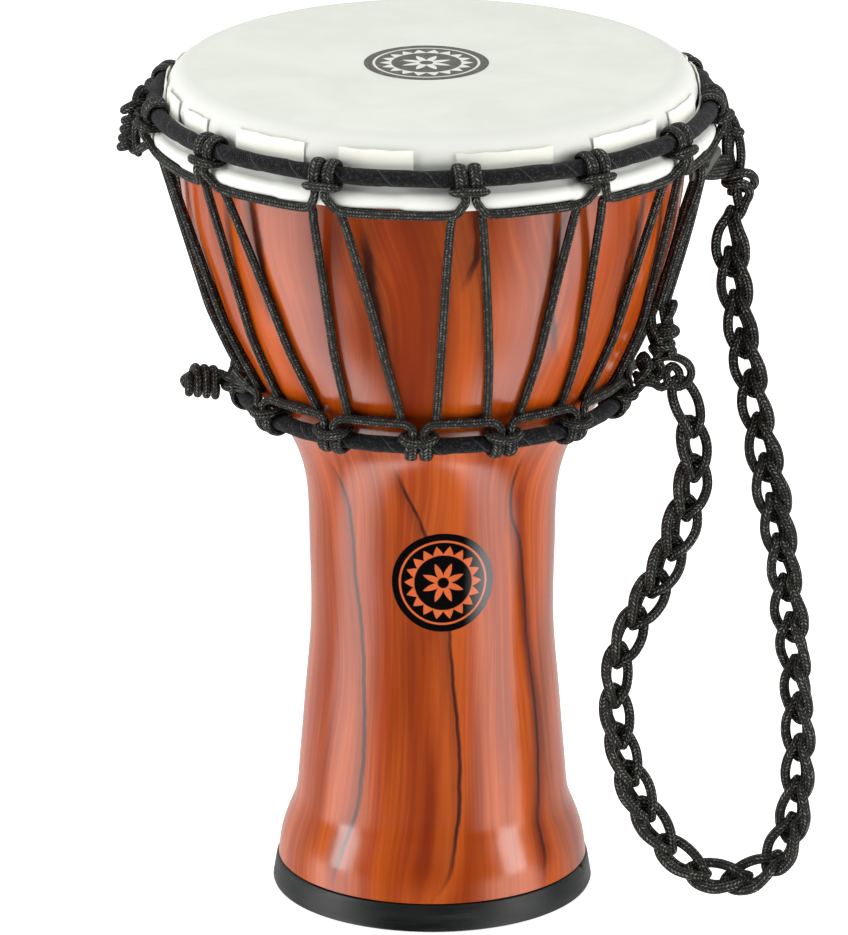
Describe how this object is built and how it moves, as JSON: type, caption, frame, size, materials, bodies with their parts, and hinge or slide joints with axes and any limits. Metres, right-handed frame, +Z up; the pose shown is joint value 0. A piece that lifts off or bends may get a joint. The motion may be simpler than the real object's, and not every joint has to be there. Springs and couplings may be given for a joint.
{
  "type": "djembe",
  "caption": "Rope-tuned goblet hand drum with a film head, fabric-wrapped rings, cow-hitched cradle ropes, lacing, rubber foot and a chain-knotted strap.",
  "frame": {"origin": "on the drum's axis at the floor under the foot ring", "axes": "+Z up along the drum's axis, -Y towards the badge side, +X towards the strap"},
  "size_m": [0.2368, 0.1989, 0.291],
  "materials": {
    "shell": "gloss",
    "rubber": "satin",
    "badge": "gloss",
    "film": "matte",
    "steel": "satin",
    "fabric_tape": "matte",
    "rope": "satin"
  },
  "bodies": {
    "drum": {"shell": "shell", "foot_ring": "rubber", "shell_badge": "badge", "base_ring": "steel", "base_ring_wrap": "fabric_tape", "base_cradle_rope": "rope", "lacing_rope": "rope", "lacing_tail_rope": "rope", "lacing_tail_knot": "rope", "lacing_end_knot": "rope", "strap_chain": "rope", "strap_lower_knot": "rope"},
    "head": {"drumhead_film": "film", "flesh_hoop": "steel", "crown_ring": "steel", "crown_ring_wrap": "fabric_tape", "crown_cradle_rope": "rope", "cradle_tie_off_knot": "rope", "strap_upper_knot": "rope"}
  },
  "joints": [
    {"name": "head_lift", "type": "slide", "parent": "drum", "child": "head", "axis": [0, 0, 1], "range_m": [0, 0.004], "deforming": ["lacing_rope", "lacing_tail_rope"]}
  ]
}
